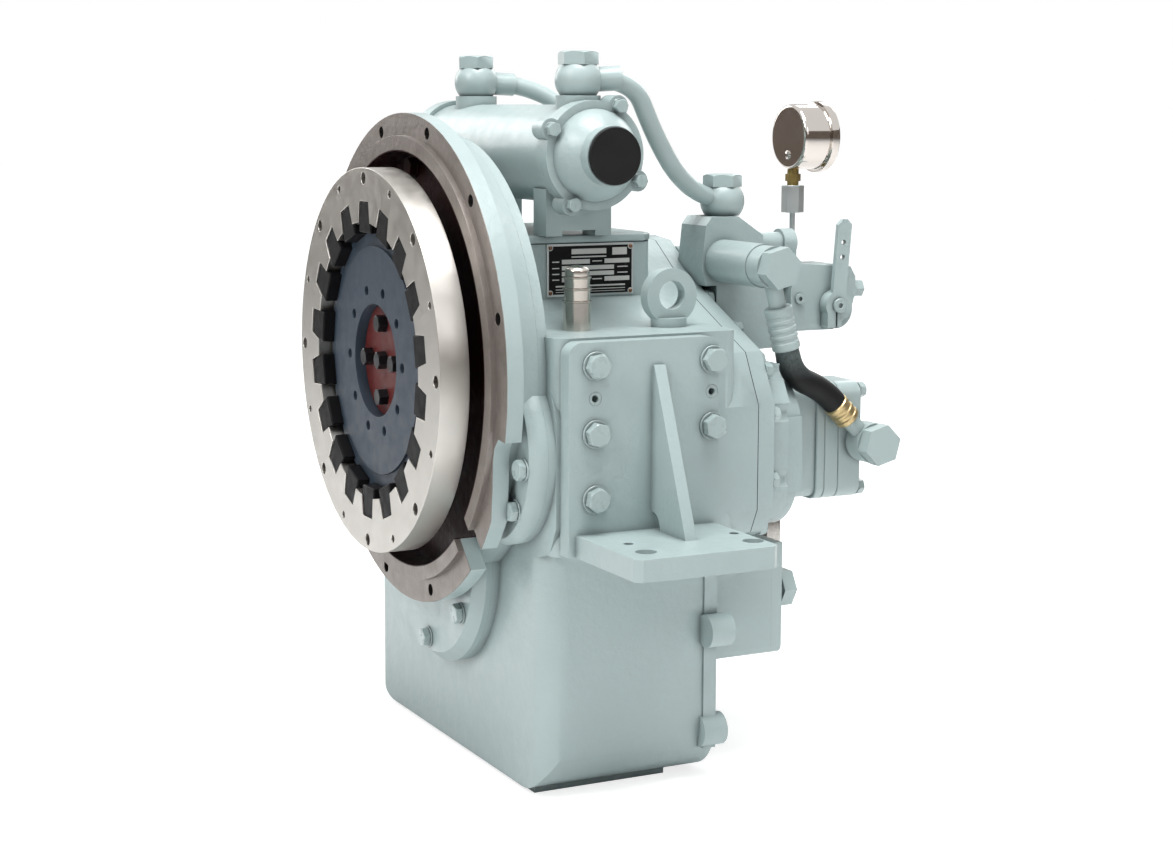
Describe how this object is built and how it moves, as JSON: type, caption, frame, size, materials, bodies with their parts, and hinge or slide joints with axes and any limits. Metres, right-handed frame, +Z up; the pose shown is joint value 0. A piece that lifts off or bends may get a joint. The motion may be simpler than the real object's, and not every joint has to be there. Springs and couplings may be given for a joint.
{
  "type": "marine gearbox",
  "caption": "Marine reversing reduction gearbox with engine flange, rubber-block coupling, twin clutches, oil cooler, gear pump, control valve, gauge and side mounting brackets.",
  "frame": {"origin": "centre of the engine flange's face, on the input shaft's axis", "axes": "+Y along the shafts towards the output (aft), +X to the side of the astern shaft, pump and valve, +Z up; the engine side looks along -Y"},
  "size_m": [0.7, 0.4876, 0.655],
  "materials": {
    "grey_paint": "satin grey-green enamel over cast iron and steel",
    "zinc_steel": "zinc-plated steel",
    "ring_aluminium": "turned aluminium",
    "black_rubber": "matt black rubber",
    "slate_iron": "slate-grey cast iron",
    "red_oxide": "red oxide primer on forged steel",
    "black_steel": "black oxide steel",
    "bright_steel": "ground steel",
    "sintered_lining": "sintered bronze lining on steel",
    "paper_gasket": "oil-tight paper",
    "chrome": "polished chrome, white dial",
    "gauge_glass": "clear glass",
    "black_needle": "black enamel",
    "brass": "brass",
    "black_plastic": "black plastic",
    "copper_tube": "copper-nickel tube"
  },
  "bodies": {
    "housing": {"bell_housing": "grey_paint", "gear_case": "grey_paint", "rear_cover": "grey_paint", "top_cover": "grey_paint", "housing_gaskets": "paper_gasket", "housing_bolts": "grey_paint", "right_bracket": "grey_paint", "left_bracket": "grey_paint", "bracket_fasteners": "grey_paint", "bearing_races": "bright_steel", "bearing_rollers": "bright_steel", "shaft_seals": "black_rubber", "pump_body": "grey_paint", "pump_end_cover": "grey_paint", "valve_body": "grey_paint", "selector_plate": "zinc_steel", "gauge_case": "chrome", "gauge_glass": "gauge_glass", "gauge_stem": "brass", "hose_fittings": "grey_paint", "pressure_hose": "black_rubber", "cooler_shell": "grey_paint", "cooler_caps": "grey_paint", "cooler_cap_bolts": "grey_paint", "port_plugs": "black_plastic", "cooler_tubes": "copper_tube", "banjo_bolts": "grey_paint", "cooler_pipes": "grey_paint", "strainer_housing": "grey_paint", "strainer_lid": "grey_paint", "strainer_screen": "bright_steel", "lifting_eye": "grey_paint", "breather": "zinc_steel", "service_fittings": "grey_paint"},
    "input_rotor": {"coupling_ring": "ring_aluminium", "coupling_blocks": "black_rubber", "coupling_hub": "slate_iron", "shaft_flange": "red_oxide", "hub_bolts": "black_steel", "input_shaft": "bright_steel", "ahead_drum": "bright_steel", "ahead_steel_plates": "bright_steel"},
    "ahead_piston": {"ahead_piston": "bright_steel"},
    "ahead_pinion": {"ahead_pinion": "bright_steel", "ahead_friction_plates": "sintered_lining"},
    "astern_rotor": {"astern_shaft": "bright_steel", "astern_drum": "bright_steel", "astern_steel_plates": "bright_steel", "pump_drive_gear": "bright_steel"},
    "astern_piston": {"astern_piston": "bright_steel"},
    "astern_pinion": {"astern_pinion": "bright_steel", "astern_friction_plates": "sintered_lining"},
    "pump_driven_gear": {"pump_driven_gear": "bright_steel"},
    "output_rotor": {"output_shaft": "bright_steel", "output_gear": "bright_steel", "output_flange": "bright_steel", "output_nut": "bright_steel"},
    "selector": {"selector_spool": "bright_steel", "selector_lever": "zinc_steel"},
    "gauge_needle": {"gauge_needle": "black_needle"}
  },
  "joints": [
    {"name": "input_spin", "type": "hinge", "parent": "housing", "child": "input_rotor", "pos_m": [0, 0, 0], "axis": [0, 1, 0], "continuous": true},
    {"name": "output_spin", "type": "hinge", "parent": "housing", "child": "output_rotor", "pos_m": [0, 0, -0.18], "axis": [0, 1, 0], "continuous": true},
    {"name": "astern_spin", "type": "hinge", "parent": "housing", "child": "astern_rotor", "pos_m": [0.1392, 0, -0.06588], "axis": [0, 1, 0], "continuous": true},
    {"name": "pump_driven_spin", "type": "hinge", "parent": "housing", "child": "pump_driven_gear", "pos_m": [0.1392, 0, -0.10188], "axis": [0, 1, 0], "continuous": true},
    {"name": "ahead_pinion_spin", "type": "hinge", "parent": "housing", "child": "ahead_pinion", "pos_m": [0, 0, 0], "axis": [0, 1, 0], "continuous": true},
    {"name": "astern_pinion_spin", "type": "hinge", "parent": "housing", "child": "astern_pinion", "pos_m": [0.1392, 0, -0.06588], "axis": [0, 1, 0], "continuous": true},
    {"name": "ahead_piston_slide", "type": "slide", "parent": "input_rotor", "child": "ahead_piston", "axis": [0, 1, 0], "range_m": [0, 0.002]},
    {"name": "astern_piston_slide", "type": "slide", "parent": "astern_rotor", "child": "astern_piston", "axis": [0, 1, 0], "range_m": [0, 0.002]},
    {"name": "selector_turn", "type": "hinge", "parent": "housing", "child": "selector", "pos_m": [0.1, 0.397, 0.044], "axis": [1, 0, 0], "range_deg": [-35, 35]},
    {"name": "gauge_needle_turn", "type": "hinge", "parent": "housing", "child": "gauge_needle", "pos_m": [0.072, 0.395, 0.203], "axis": [0, -1, 0], "range_deg": [0, 270]}
  ],
  "couplings": [
    {"joint": "astern_spin", "follows": "input_spin", "ratio": -1.2},
    {"joint": "pump_driven_spin", "follows": "input_spin", "ratio": 1.2},
    {"joint": "ahead_pinion_spin", "follows": "output_spin", "ratio": -2},
    {"joint": "astern_pinion_spin", "follows": "output_spin", "ratio": -2}
  ]
}
